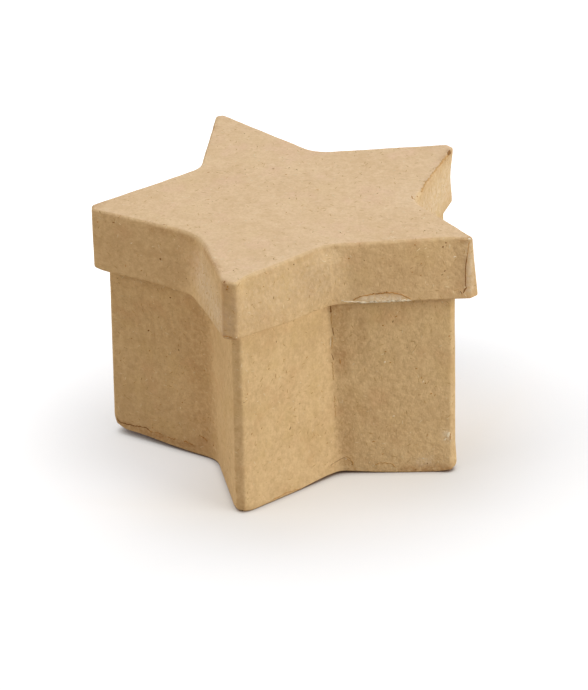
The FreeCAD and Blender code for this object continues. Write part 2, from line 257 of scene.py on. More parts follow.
BOX_STAINS_AND_PAINTED_SHADE = (
    # Painted shade down the front left hollow.
    ("rub_and_painted_shade", 4.5, 0.42, ((-17.0, -21.5, 46.0), (-16.5, -20.7, 3.0))),
    ("rub_and_painted_shade", 1.6, 0.35, ((-0.8, -43.5, 42.0), (-0.6, -43.5, 2.0))),
    # Painted shadow of the lid's rim, just under it at the front right hollow.
    ("rub_and_painted_shade", 1.0, 0.7, ((14.8, -21.1, 43.0), (16.5, -20.6, 42.6), (18.5, -20.0, 42.8))),
    ("rub_and_painted_shade", 2.4, 0.45, ((16.6, -20.4, 42.0), (16.8, -20.2, 36.0), (16.5, -20.3, 27.0))),
    ("rub_and_painted_shade", 1.6, 0.40, ((20.6, -19.2, 39.0), (21.0, -19.1, 33.5))),
    # Painted shadow of the lid's rim, just under it on the right tip's front face.
    ("rub_and_painted_shade", 2.2, 0.35, ((30.5, -16.2, 43.0), (34.0, -15.2, 42.6))),
    ("rub_and_painted_shade", 2.6, 0.35, ((18.0, -19.7, 21.0), (18.6, -19.5, 16.0))),
    ("rub_and_painted_shade", 2.2, 0.40, ((17.0, -19.9, 16.0), (17.4, -19.7, 12.0), (17.6, -19.6, 7.0))),
    ("rub_and_painted_shade", 2.2, 0.30, ((26.0, -17.3, 12.0), (29.0, -16.5, 11.0))),
    # Painted shadow of the lid's rim, just under it on the left tip's front face.
    ("rub_and_painted_shade", 2.5, 0.25, ((-34.0, -15.8, 42.5), (-17.0, -21.0, 41.0))),
    ("pale", 1.1, 0.35, ((33.6, -15.0, 2.6), (35.4, -14.5, 3.0))),
    ("pale", 0.9, 0.60, ((39.2, -13.3, 9.8), (39.6, -13.2, 8.6))),
    ("rub_and_painted_shade", 1.0, 0.8, ((-39.4, -14.3, 3.2), (-33.4, -15.8, 2.6), (-26.0, -17.8, 2.0), (-19.3, -19.6, 2.0))),
    ("rub_and_painted_shade", 1.2, 0.8, ((30.0, -16.0, 0.9), (40.0, -13.3, 0.9))),
    ("rub_and_painted_shade", 0.9, 0.7, ((-0.4, -43.4, 3.0), (0.2, -43.2, 0.5))),
    ("rub_and_painted_shade", 0.8, 0.5, ((14.3, -22.2, 2.4), (18.7, -19.3, 3.8))),
)

# Fibres strewn in the paper: (number per square centimetre, length, width), dark, middling and pale
FIBRES = ((0.6, 0.50, 0.24), (9.0, 1.0, 0.19), (5.0, 0.9, 0.18))

# How far each kind of mark stands off the skin
FIBRE_PROUD = 0.03
SLIVER_PROUD = 0.045
CHIP_PROUD = 0.05

# Radii of the folds and edges
LID_FOLD_ROUND = 1.0
BOX_FOLD_ROUND = 0.8
TOP_EDGE_ROUND = 0.6
# Radius of the lid's top edge where a hollow has it rounder
HOLLOW_EDGE_ROUND = {"front_left_hollow": 0.9, "back_right_hollow": 0.9}
RIM_EDGE_ROUND = 0.35
FOOT_EDGE_ROUND = 0.5
MOUTH_EDGE_ROUND = 0.4

# Points round one ring of mesh
SIDE_STEPS = 52
FLAT_STEPS = 8
FOLD_STEPS = 7
HOLLOW_STEPS = 14

# Soft lamps, in metres, degrees and watts: (name, azimuth, elevation, power, colour)
LAMP_SIZE = 0.8
LAMP_DISTANCE = 1.2
LAMPS = (("right_softbox", 349.5, 20.0, 11.9, "#fffef8"), ("top_softbox", 0.0, 88.0, 11.3, "#e6eeff"),
         ("left_softbox", 212.0, 20.0, 6.7, "#fff5e6"))

# Camera, found from the corners of the box in the photograph (588 by 690)
PHOTO_SIZE = (588, 690)
CAMERA_AZIMUTH = 16.59
CAMERA_ELEVATION = 27.38
CAMERA_ROLL = -1.26
CAMERA_FOCAL_PIXELS = 3405.6
CAMERA_DISTANCE = 0.800
CAMERA_AIM = (-0.00033, 0.01874)
SENSOR = 36.0


def linear(code):
    """An sRGB hex colour as the linear RGBA that shaders take."""
    channels = [int(code[i:i + 2], 16) / 255 for i in (1, 3, 5)]
    return [c / 12.92 if c <= 0.04045 else ((c + 0.055) / 1.055) ** 2.4 for c in channels] + [1.0]


def unit(vectors):
    return vectors / np.linalg.norm(vectors, axis=-1, keepdims=True)


def star_corners(shift):
    """The ten sharp corners of the lid's outside, with a strip end's own shift added."""
    points = []
    for index, name in enumerate(CORNERS):
        outward, sideways = np.add(CORNER_OFFSETS[name], shift.get(name, (0.0, 0.0)))
        angle = math.radians(FRONT_ANGLE + 36.0 * index)
        along = np.array([math.cos(angle), math.sin(angle)])
        across = np.array([-math.sin(angle), math.cos(angle)])
        radius = (TIP_RADIUS if name.endswith("tip") else HOLLOW_RADIUS) + outward
        points.append(radius * along + sideways * across)
    return np.array(points)


def inset(points, distance):
    """The same outline with every side moved inward by one distance."""
    before = unit(points - np.roll(points, 1, axis=0))
    inward = np.stack([-before[:, 1], before[:, 0]], axis=1)
    bisector = inward + np.roll(inward, -1, axis=0)
    return points + bisector * (distance / (bisector * inward).sum(axis=1))[:, None]


def blunt_tips(points, cuts):
    """Two folds in place of each sharp tip. The fifteen corners that come of it, in order."""
    cut = []
    for index, name in enumerate(CORNERS):
        if name not in cuts:
            cut.append(points[index])
            continue
        width, slant = cuts[name]
        back = unit(points[index - 1] - points[index])
        ahead = unit(points[(index + 1) % len(points)] - points[index])
        apex = math.acos(float(np.dot(back, ahead)))
        turn = (math.pi - apex) / 2 - math.radians(slant)
        cut.append(points[index] + back * (width * math.sin(math.pi - apex - turn) / math.sin(apex)))
        cut.append(points[index] + ahead * (width * math.sin(turn) / math.sin(apex)))
    return np.array(cut)


# The fifteen folds of a strip, in the order that blunt_tips gives them
FOLDS = []
for corner_name in CORNERS:
    if corner_name.endswith("tip"):
        FOLDS += [corner_name + "_before", corner_name + "_after"]
    else:
        FOLDS.append(corner_name)


def rounded(points, depth, fold_round, hollow_rounds):
    """One ring of mesh points: the fifteen corners moved inward by depth, folds and hollows rounded."""
    points = inset(points, depth)
    starts, ends, arcs = [], [], []
    for index, name in enumerate(FOLDS):
        back = unit(points[index - 1] - points[index])
        ahead = unit(points[(index + 1) % len(points)] - points[index])
        turn = math.pi - math.acos(float(np.dot(back, ahead)))
        if name in hollow_rounds:
            radius, steps = hollow_rounds[name] + depth, HOLLOW_STEPS
        else:
            radius, steps = max(fold_round - depth, 0.12), FOLD_STEPS
        reach = radius * math.tan(turn / 2)
        start = points[index] + back * reach
        end = points[index] + ahead * reach
        centre = points[index] + unit(back + ahead) * (radius / math.cos(turn / 2))
        from_centre = start - centre
        sign = 1.0 if from_centre[0] * (end - centre)[1] > from_centre[1] * (end - centre)[0] else -1.0
        angles = np.linspace(0, sign * turn, steps + 1)
        cos, sin = np.cos(angles), np.sin(angles)
        arcs.append(centre + np.stack([from_centre[0] * cos - from_centre[1] * sin,
                                       from_centre[0] * sin + from_centre[1] * cos], axis=1))
        starts.append(start)
        ends.append(end)
    ring = []
    for index, name in enumerate(FOLDS):
        ring.append(arcs[index])
        steps = FLAT_STEPS if name.endswith("_before") else SIDE_STEPS
        share = np.linspace(0, 1, steps + 1)[1:-1, None]
        ring.append(ends[index] * (1 - share) + starts[(index + 1) % len(starts)] * share)
    return np.concatenate(ring)


def fold_marks():
    """The ring index at the middle of each of the fifteen folds."""
    marks, index = {}, 0
    for name in FOLDS:
        steps = HOLLOW_STEPS if name.endswith("hollow") else FOLD_STEPS
        marks[name] = index + steps // 2
        index += steps + (FLAT_STEPS if name.endswith("_before") else SIDE_STEPS)
    return marks


MARKS = fold_marks()


class Strip:
    """A folded strip: its fifteen corners at the upper and lower end, and all between."""

    def __init__(self, high, low, high_shift, low_shift, cuts, hollows, fold_round, depth):
        self.high, self.low = high, low
        upper_cuts = {name: pair[0] for name, pair in cuts.items()}
        lower_cuts = {name: pair[1] for name, pair in cuts.items()}
        self.upper = blunt_tips(inset(star_corners(high_shift), depth), upper_cuts)
        self.lower = blunt_tips(inset(star_corners(low_shift), depth), lower_cuts)
        self.hollows = hollows
        self.fold_round = fold_round
        outline = self.plain((high + low) / 2, 0)
        steps = np.linalg.norm(np.roll(outline, -1, axis=0) - outline, axis=1)
        self.along = np.concatenate([[0], np.cumsum(steps)[:-1]])
        self.length = steps.sum()

    def plain(self, height, depth):
        """The outline at a height, moved inward by depth, with no unevenness."""
        share = min(max((self.high - height) / (self.high - self.low), 0), 1)
        corners = self.upper * (1 - share) + self.lower * share
        hollows = {n: a * (1 - share) + b * share for n, (a, b) in self.hollows.items()}
        return rounded(corners, depth, self.fold_round, hollows)

    def push(self, outline, height, skin):
        """How far the strip stands out of its plain outline at a height; skin is 1 on its outside."""
        return np.zeros(len(outline))

    def ring(self, height, depth):
        outline = self.plain(height, 0)
        inner = outline if depth == 0 else self.plain(height, depth)
        skin = min(max((WALL - depth) / (WALL - 0.65), 0), 1)
        return inner + outward(outline) * self.push(outline, height, skin)[:, None]

    def span(self, first, last, soft):
        """1 between two folds, falling to 0 at them over soft."""
        inside = np.minimum(self.beside(first) % self.length, -self.beside(last) % self.length)
        within = (self.beside(first) % self.length) < (self.along[MARKS[last]] - self.along[MARKS[first]])
        share = np.clip(inside / soft, 0, 1) * within
        return share * share * (3 - 2 * share)

    def beside(self, fold):
        """How far each ring point lies past a fold, in millimetres, negative before it."""
        gap = self.along - self.along[MARKS[fold]]
        return (gap + self.length / 2) % self.length - self.length / 2

    def lift(self, rises):
        """The rise of an edge at each ring point."""
        return sum(rise * bump_shape(self.beside(fold) - past, width) for fold, past, width, rise in rises)


def outward(ring):
    """The outward directions of a ring's points, in plan."""
    across = unit(np.roll(ring, -1, axis=0) - np.roll(ring, 1, axis=0))
    return np.stack([across[:, 1], -across[:, 0]], axis=1)


lattice = np.random.default_rng(11).uniform(-1, 1, (24, 24, 24))


def wander(points, size):
    """Smooth random values from -1 to 1 that change over about the given number of millimetres."""
    grid = points / size + 7.3
    cell = np.floor(grid).astype(int)
    share = grid - cell
    share = share * share * (3 - 2 * share)
    value = np.zeros(len(points))
    for corner in range(8):
        step = np.array([corner & 1, corner >> 1 & 1, corner >> 2 & 1])
        weight = np.prod(np.where(step == 1, share, 1 - share), axis=1)
        value += weight * lattice[tuple(((cell + step) % 24).T)]
    return value


def bump_shape(distance, width):
    return np.exp(-(distance / width) ** 2)


def cockled(plan, height, cockles):
    """The height of the paper's waves at each point of a plan."""
    places = np.column_stack([plan, np.full(len(plan), height)])
    return sum(rise * wander(places, size) for rise, size in cockles)


def placed(name, data):
    """A new object at the origin, put in the scene."""
    thing = bpy.data.objects.new(name, data)
    bpy.context.scene.collection.objects.link(thing)
    return thing


def new_mesh(name, places, faces, slots, materials, smooth=True):
    """A mesh from places in millimetres, with one material slot for each face."""
    mesh = bpy.data.meshes.new(name)
    mesh.from_pydata((places * MM).tolist(), [], faces)
    mesh.polygons.foreach_set("material_index", slots)
    mesh.polygons.foreach_set("use_smooth", [smooth] * len(faces))
    for material in materials:
        mesh.materials.append(material)
    mesh.update()
    return mesh


class Shell:
    """Rings of points that become one closed mesh, with what is painted on them."""

    def __init__(self):
        self.rings = []
        self.slots = []

    def add(self, plan, height, slot=0):
        heights = np.full(len(plan), float(height)) if np.isscalar(height) else height
        self.rings.append(np.column_stack([plan, heights]))
        self.slots.append(slot)

    def mesh(self, name, stains_and_painted_shading, materials):
        """Joins the rings, closes both ends at a middle point and paints on the stained and worn places and
        the painted light and shade.
        """
        rings = np.array(self.rings)
        count, around = rings.shape[:2]
        points = np.concatenate([rings.reshape(-1, 3), rings[[0, -1]].mean(axis=1)])
        first, last = count * around, count * around + 1
        index = np.arange(around)
        after = (index + 1) % around
        faces, slots = [], []
        for k in range(count - 1):
            quads = np.stack([k * around + index, (k + 1) * around + index,
                              (k + 1) * around + after, k * around + after], axis=1)
            faces += quads.tolist()
            slots += [self.slots[k + 1]] * around
        faces += np.stack([np.full(around, first), index, after], axis=1).tolist()
        slots += [self.slots[0]] * around
        end = (count - 1) * around
        faces += np.stack([np.full(around, last), end + after, end + index], axis=1).tolist()
        slots += [self.slots[-1]] * around
        mesh = new_mesh(name, points, faces, slots, materials)
        for key in ("rub_and_painted_shade", "pale"):
            layer = mesh.attributes.new(key, "FLOAT", "POINT")
            layer.data.foreach_set("value", painted(points, key, stains_and_painted_shading).astype(np.float32))
        return placed(name, mesh)


def painted(points, key, stains_and_painted_shading):
    """How strongly each point is stained or worn, or given painted light or shade, from its distance to the
    lines that these run along.
    """
    value = np.zeros(len(points))
    for entry_key, radius, strength, places in stains_and_painted_shading:
        if entry_key != key:
            continue
        for start, end in zip(np.array(places), np.array(places[1:])):
            along = end - start
            share = np.clip((points - start) @ along / (along @ along), 0, 1)
            distance = np.linalg.norm(points - start - share[:, None] * along, axis=1)
            value = np.maximum(value, strength * bump_shape(distance, radius))
    return value


def off_the_floor(places):
    """The places with none below the floor that the box stands on."""
    return np.clip(places, (-np.inf, -np.inf, 0.0), None)


class Scraps:
    """Thin closed scraps that lie on a piece's skin: slivers along a line, and small chips."""

    def __init__(self, piece, seed):
        mesh = piece.data
        self.skin = BVHTree.FromPolygons([v.co / MM for v in mesh.vertices],
                                         [tuple(f.vertices) for f in mesh.polygons])
        self.random = np.random.default_rng(seed)
        self.points, self.faces, self.slots = [], [], []

    def on_skin(self, place):
        spot, normal, _, _ = self.skin.find_nearest(Vector(place))
        return np.array(spot), np.array(normal)

    def pressed(self, points):
        """The points brought down onto the skin, so that nothing stands off it round an edge."""
        flat = []
        for point in points:
            spot, normal = self.on_skin(point)
            flat.append(spot + normal * np.clip((point - spot) @ normal, -FIBRE_PROUD, FIBRE_PROUD))
        return off_the_floor(flat)

    def close(self, sections, slot):
        """Joins closed sections into one solid scrap, with its two ends filled."""
        base, count, around = len(self.points), len(sections), len(sections[0])
        self.points += [point for section in sections for point in section]
        for k in range(count - 1):
            for m in range(around):
                n = (m + 1) % around
                self.faces.append((base + k * around + m, base + k * around + n,
                                   base + (k + 1) * around + n, base + (k + 1) * around + m))
        self.faces.append(tuple(base + m for m in reversed(range(around))))
        self.faces.append(tuple(base + (count - 1) * around + m for m in range(around)))
        self.slots += [slot] * ((count - 1) * around + 2)

    def sliver(self, slot, width, ragged, places):
        """A crease, seam or torn edge: it follows a line, and its two sides wander."""
        places = np.array(places)
        gaps = np.linalg.norm(np.diff(places, axis=0), axis=1)
        along = np.concatenate([[0], np.cumsum(gaps)])
        steps = np.linspace(0, along[-1], max(int(along[-1] / 0.3), 3))
        line = np.stack([np.interp(steps, along, places[:, k]) for k in range(3)], axis=1)
        line += 0.25 * width * ragged * self.random.normal(0, 1, line.shape)
        halves = width / 2 * np.clip(1 + ragged * self.random.normal(0, 0.45, (2, len(steps))), 0.15, 2)
        halves *= np.clip(np.minimum(steps, along[-1] - steps) / 0.5 + 0.15, 0.15, 1)
        sections = []
        for k in range(len(line)):
            spot, normal = self.on_skin(line[k])
            run = line[min(k + 1, len(line) - 1)] - line[max(k - 1, 0)]
            side = np.cross(run, normal)
            side /= np.linalg.norm(side) + 1e-9
            left, right = halves[:, k]
            sections.append([spot - side * left - normal * 0.03, spot - normal * 0.08,
                             spot + side * right - normal * 0.03,
                             spot + side * right * 0.5 + normal * SLIVER_PROUD,
                             spot - side * left * 0.5 + normal * SLIVER_PROUD])
        self.close(sections, slot)

    def chip(self, slot, length, width, degrees, place):
        """A speck, knot or torn chip: an irregular flat oval."""
        spot, normal = self.on_skin(place)
        level = np.array([1.0, 0, 0]) if normal[2] > 0.7 else np.cross([0, 0, 1.0], normal)
        level -= normal * (level @ normal)
        level /= np.linalg.norm(level)
        upward = np.cross(normal, level)
        turn = math.radians(degrees)
        axis = level * math.cos(turn) + upward * math.sin(turn)
        across = upward * math.cos(turn) - level * math.sin(turn)
        angles = np.radians(np.arange(0, 360, 30))
        edge = self.random.uniform(0.7, 1.15, len(angles))
        sections = []
        for size, height in ((0.5, -0.1), (1.0, -0.04), (0.7, CHIP_PROUD * 0.7), (0.3, CHIP_PROUD)):
            section = []
            for angle, reach in zip(angles, edge * size):
                over = spot + axis * (reach * length / 2 * math.cos(angle)) \
                    + across * (reach * width / 2 * math.sin(angle))
                near, tilt = self.on_skin(over)
                section.append(near + tilt * height)
            sections.append(section)
        self.close(sections, slot)

    def piece(self, name, materials):
        return placed(name, new_mesh(name, off_the_floor(self.points), self.faces, self.slots, materials))


def fibre_tree():
    """The node tree that strews short flat fibres over the outer skin of a piece."""
    tree = bpy.data.node_groups.new("fibre scatter", "GeometryNodeTree")
    sockets = tree.interface
    sockets.new_socket("Geometry", in_out="INPUT", socket_type="NodeSocketGeometry")
    for name in ("Fibres per cm2", "Length mm", "Width mm"):
        sockets.new_socket(name, in_out="INPUT", socket_type="NodeSocketFloat")
    for name in ("Seed", "Lining slot"):
        sockets.new_socket(name, in_out="INPUT", socket_type="NodeSocketInt")
    sockets.new_socket("Material", in_out="INPUT", socket_type="NodeSocketMaterial")
    sockets.new_socket("Geometry", in_out="OUTPUT", socket_type="NodeSocketGeometry")
    given = add_node(tree, "NodeGroupInput").outputs

    def chance(low, high, offset):
        seed = maths(tree, "ADD", given["Seed"], offset)
        return add_node(tree, "FunctionNodeRandomValue", {"data_type": "FLOAT"}, {2: low, 3: high},
                        {8: seed}).outputs[1]

    slot = add_node(tree, "GeometryNodeInputMaterialIndex").outputs[0]
    outside = maths(tree, "SUBTRACT", given["Lining slot"], slot)
    density = maths(tree, "MULTIPLY", given["Fibres per cm2"], 10000.0)
    strewn = add_node(tree, "GeometryNodeDistributePointsOnFaces", {"distribute_method": "RANDOM"}, {},
                      {"Mesh": given["Geometry"], "Selection": outside, "Density": density,
                       "Seed": given["Seed"]})
    spin = add_node(tree, "FunctionNodeAxisAngleToRotation", {}, {"Axis": (0, 0, 1)},
                    {"Angle": chance(0.0, math.pi, 1)})
    turned = add_node(tree, "FunctionNodeRotateRotation", {"rotation_space": "LOCAL"}, {},
                      {"Rotation": strewn.outputs["Rotation"], "Rotate By": spin.outputs[0]})
    half_length = maths(tree, "MULTIPLY", given["Length mm"], 0.5 * MM)
    half_width = maths(tree, "MULTIPLY", given["Width mm"], 0.5 * MM)
    size = add_node(tree, "ShaderNodeCombineXYZ", {}, {"Z": 0.022 * MM},
                    {"X": maths(tree, "MULTIPLY", half_length, chance(0.35, 1.5, 2)),
                     "Y": maths(tree, "MULTIPLY", half_width, chance(0.6, 1.4, 3))})
    body = add_node(tree, "GeometryNodeMeshIcoSphere", {}, {"Radius": 1.0, "Subdivisions": 1})
    laid = add_node(tree, "GeometryNodeInstanceOnPoints", {}, {},
                    {"Points": strewn.outputs["Points"], "Instance": body.outputs["Mesh"],
                     "Rotation": turned.outputs[0], "Scale": size.outputs[0]})
    real = add_node(tree, "GeometryNodeRealizeInstances", {}, {}, {"Geometry": laid.outputs[0]})
    painted_on = add_node(tree, "GeometryNodeSetMaterial", {}, {},
                          {"Geometry": real.outputs[0], "Material": given["Material"]})
    add_node(tree, "NodeGroupOutput", {}, {}, {"Geometry": painted_on.outputs[0]})
    return tree


def scattered(piece, tree, values):
    """The mesh that the scatter makes on a piece with the given inputs."""
    holder = placed("scatter", piece.data)
    modifier = holder.modifiers.new("scatter", "NODES")
    modifier.node_group = tree
    for item in tree.interface.items_tree:
        if item.in_out == "INPUT" and item.name in values:
            modifier[item.identifier] = values[item.name]
    baked = bpy.data.meshes.new_from_object(holder.evaluated_get(bpy.context.evaluated_depsgraph_get()))
    bpy.data.objects.remove(holder)
    return baked


def strew_fibres(piece, body, seed):
    """All the loose fibres in one body's skin, as one plain mesh."""
    tree = fibre_tree()
    points, faces, slots = [], [], []
    for slot, (per_cm2, length, width) in enumerate(FIBRES):
        values = {"Fibres per cm2": per_cm2, "Length mm": length, "Width mm": width,
                  "Seed": seed + 10 * slot, "Lining slot": len(piece.data.materials) - 1,
                  "Material": FIBRE_MATERIALS[slot]}
        baked = scattered(piece, tree, values)
        places = np.empty(len(baked.vertices) * 3)
        baked.vertices.foreach_get("co", places)
        corners = np.empty(len(baked.loops), dtype=int)
        baked.loops.foreach_get("vertex_index", corners)
        faces.append(corners.reshape(-1, 3) + sum(len(group) for group in points))
        points.append(places.reshape(-1, 3))
        slots += [slot] * len(faces[-1])
        bpy.data.meshes.remove(baked)
    places = Scraps(piece, seed).pressed(np.concatenate(points) / MM)
    name = body + "_fibres"
    strewn = placed(name, new_mesh(name, places, np.concatenate(faces).tolist(), slots, FIBRE_MATERIALS,
                                   smooth=False))
    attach(strewn, body)


def add_node(tree, kind, settings=None, inputs=None, links=None):
    """Adds one node, sets its properties and input values, and links its inputs."""
    node = tree.nodes.new(kind)
    for key, value in (settings or {}).items():
        setattr(node, key, value)
    for key, value in (inputs or {}).items():
        node.inputs[key].default_value = value
    for key, socket in (links or {}).items():
        tree.links.new(socket, node.inputs[key])
    return node


def new_material(name):
    material = bpy.data.materials.new(name)
    material.use_nodes = True
    material.node_tree.nodes.clear()
    return material, material.node_tree


def mix_colour(tree, share, low, high, blend="MIX"):
    """One mix of two colours; each may be a socket or a colour, and the share a socket or number."""
    node = add_node(tree, "ShaderNodeMix", {"data_type": "RGBA", "blend_type": blend})
    for key, value in ((0, share), (6, low), (7, high)):
        if isinstance(value, bpy.types.NodeSocket):
            tree.links.new(value, node.inputs[key])
        else:
            node.inputs[key].default_value = value
    return node.outputs[2]


def tinted(tree, colour, mask, strength, code):
    """A colour with another laid over it where the mask is high."""
    return mix_colour(tree, maths(tree, "MULTIPLY", mask, strength), colour, linear(code))


def ramp(tree, value, low, high):
    """A smooth step from 0 at low to 1 at high."""
    node = add_node(tree, "ShaderNodeMapRange", {"interpolation_type": "SMOOTHSTEP"},
                    {"From Min": low, "From Max": high}, {"Value": value})
    return node.outputs["Result"]


def maths(tree, operation, first, second):
    node = add_node(tree, "ShaderNodeMath", {"operation": operation})
    for key, value in enumerate((first, second)):
        if isinstance(value, bpy.types.NodeSocket):
            tree.links.new(value, node.inputs[key])
        else:
            node.inputs[key].default_value = value
    return node.outputs[0]


def noise(tree, where, size_mm, detail=3.0, rough=0.55):
    """Noise whose features are about size_mm across."""
    node = add_node(tree, "ShaderNodeTexNoise", {"noise_dimensions": "3D"},
                    {"Scale": 1 / (size_mm * MM), "Detail": detail, "Roughness": rough},
                    {"Vector": where})
    return node.outputs["Fac"]


def fibres(tree, where, turn, length_mm, width_mm, spacing_mm, share):
    """A mask of short straight fibres lying one way: long cells, a few of them filled."""
    stretch = length_mm / width_mm
    turned = add_node(tree, "ShaderNodeMapping", {"vector_type": "POINT"},
                      {"Rotation": [math.radians(a) for a in turn], "Scale": (1 / stretch, 1.0, 1.0)},
                      {"Vector": where})
    cells = add_node(tree, "ShaderNodeTexVoronoi", {"feature": "F1"},
                     {"Scale": 1 / (spacing_mm * MM), "Randomness": 1.0},
                     {"Vector": turned.outputs["Vector"]})
    body = ramp(tree, cells.outputs["Distance"], width_mm / spacing_mm, 0.35 * width_mm / spacing_mm)
    pick = add_node(tree, "ShaderNodeSeparateColor", {}, {}, {"Color": cells.outputs["Color"]})
    chosen = ramp(tree, pick.outputs["Red"], 1 - share, 1 - share + 0.02)
    strength = maths(tree, "MULTIPLY", chosen, ramp(tree, pick.outputs["Green"], -0.4, 1.0))
    return maths(tree, "MULTIPLY", body, strength)


def kraft_paper(name, pale, deep, warm, cool, rough, paste, mottle, grain=1.0):
    """Kraft paper, unbleached sulphate pulp, pasted wet over board and dried. It shows as a warm, matt
    tan with cloudy pulp, short dark bark fibres and a few pale ones, and faint cockles. Pale and deep are
    the pulp's tones, warm and cool its patches, paste how deep it cockled, mottle and grain its clouds."""
    material, tree = new_material(name)
    where = add_node(tree, "ShaderNodeTexCoord").outputs["Object"]
    clouds = noise(tree, where, 11.0, 2.0)
    pulp = noise(tree, where, 1.7 * grain, 3.0, 0.65)
    tooth = noise(tree, where, 0.5, 2.0, 0.5)
    tone = maths(tree, "ADD", maths(tree, "MULTIPLY", clouds, 0.35), maths(tree, "MULTIPLY", pulp, 0.65))
    colour = mix_colour(tree, ramp(tree, tone, 0.50 - 0.14 / mottle, 0.50 + 0.14 / mottle), linear(deep),
                        linear(pale))
    blush = ramp(tree, noise(tree, where, 7.0, 3.0), 0.52, 0.72)
    colour = tinted(tree, colour, blush, 0.40, warm)
    olive = ramp(tree, noise(tree, where, 9.0, 3.0), 0.50, 0.30)
    colour = tinted(tree, colour, olive, 0.35, cool)
    colour = tinted(tree, colour, ramp(tree, tooth, 0.58, 0.34), 0.22, "#bd9c70")
    # Fibres inside the sheet: turn, length, width and spacing in mm, share filled, colour, strength
    layers = (
        ((0, 0, 25), 1.5, 0.18, 1.3, 0.50, "#a07f55", 0.40),
        ((0, 70, 110), 1.2, 0.16, 1.3, 0.45, "#a07f55", 0.40),
        ((80, 0, 160), 1.8, 0.16, 1.5, 0.50, "#96744b", 0.40),
        ((60, 20, 75), 1.2, 0.16, 1.4, 0.40, "#f0dfc2", 0.35),
    )
    for turn, length, width, spacing, share, code, strength in layers:
        mask = fibres(tree, where, turn, length, width, spacing, share)
        colour = tinted(tree, colour, mask, strength, code)
    # Two painted attributes: the brown one marks where the paper is worn, and is also painted shade in a
    # hollow, under the rim and on some faces; the pale one marks scuffs, and is also painted light on two
    # of the rim's faces.
    for key, code, strength in (("rub_and_painted_shade", "#a06c38", 0.70), ("pale", "#f1e6d4", 0.80)):
        stain_and_shading = add_node(tree, "ShaderNodeAttribute", {"attribute_name": key}).outputs["Fac"]
        ragged = maths(tree, "MULTIPLY", stain_and_shading, ramp(tree, noise(tree, where, 0.9, 4.0, 0.7), 0.30, 0.62))
        colour = tinted(tree, colour, ragged, strength, code)
    cockle = noise(tree, where, 3.2, 4.0, 0.6)
    height = maths(tree, "ADD", maths(tree, "MULTIPLY", tooth, 0.12), cockle)
    bump = add_node(tree, "ShaderNodeBump", {}, {"Strength": 1.0, "Distance": 0.42 * MM * paste},
                    {"Height": height})
    shader = add_node(tree, "ShaderNodeBsdfPrincipled", {},
                      {"Roughness": rough, "IOR": 1.45, "Specular IOR Level": 0.25,
                       "Diffuse Roughness": 0.3},
                      {"Base Color": colour, "Normal": bump.outputs["Normal"]})
    add_node(tree, "ShaderNodeOutputMaterial", {}, {}, {"Surface": shader.outputs["BSDF"]})
    return material


# The sheet on the lid's top was smoothed flat while wet, so it is the palest and hardly cockles
lid_paper = kraft_paper("pasted kraft paper of the lid's top", "#e0c29a", "#d5b58b", "#dfbb9b", "#dcbf92",
                        0.82, 0.8, 0.85, 1.0)
# The strips on the rim and the box were pulled round the folds: deeper in tone, cockled and clouded
rim_paper = kraft_paper("pasted kraft paper of the rim", "#d9bb8e", "#cbab7f", "#cfa67c", "#cdae79",
                        0.84, 1.2, 1.0, 0.8)
box_paper = kraft_paper("pasted kraft paper of the box", "#ddc093", "#cdae82", "#cda479", "#cfb17c",
                        0.84, 1.2, 0.95, 0.8)
# The lining is the board's own kraft liner, roughened by paste, duller than the outside
lining_paper = kraft_paper("pasted kraft lining paper", "#d3b68e", "#c6a87e", "#c7a47c", "#c9ab7c",
                           0.9, 1.6, 1.0)


def plain_paper(name, code, rough):
    """A matt colour with the pulp's own cloudiness, for what is too small to show more."""
    material, tree = new_material(name)
    where = add_node(tree, "ShaderNodeTexCoord").outputs["Object"]
    cloudy = ramp(tree, noise(tree, where, 0.7, 2.0), 0.3, 0.7)
    base = linear(code)
    colour = mix_colour(tree, cloudy, [c * 0.78 for c in base[:3]] + [1.0], base)
    shader = add_node(tree, "ShaderNodeBsdfPrincipled", {}, {"Roughness": rough, "Specular IOR Level": 0.2},
                      {"Base Color": colour})
    add_node(tree, "ShaderNodeOutputMaterial", {}, {}, {"Surface": shader.outputs["BSDF"]})
    return material


SCRAP_SLOTS = {"dark": 0, "brown": 1, "pale": 2, "tan": 3}
SCRAP_MATERIALS = (
    # Dust and shive caught in the glue at the open edge of an overlap, rubbed in when wet, and along a
    # crack painted shade that stands for its groove
    plain_paper("dust in the glue and painted shade of an open edge", "#8e6436", 0.7),
    # Thin paste that browned as it dried along creases
    plain_paper("dried brown paste", "#bb8a50", 0.75),
    # The pale core of the sheet where it is torn or scuffed open
    plain_paper("torn paper core", "#ecdcc0", 0.95),
    # The raw edge of a pasted flap, a little darker than its face
    plain_paper("raw edge of a flap", "#c59b64", 0.85))
FIBRE_MATERIALS = (
    # Specks of bark that the pulping left whole
    plain_paper("bark speck in the pulp", "#94713f", 0.7),
    # Longer pulp fibres at the surface
    plain_paper("brown pulp fibre", "#c59f6c", 0.8),
    # Bleached fibres from recycled paper
    plain_paper("pale pulp fibre", "#e6d0a8", 0.9))


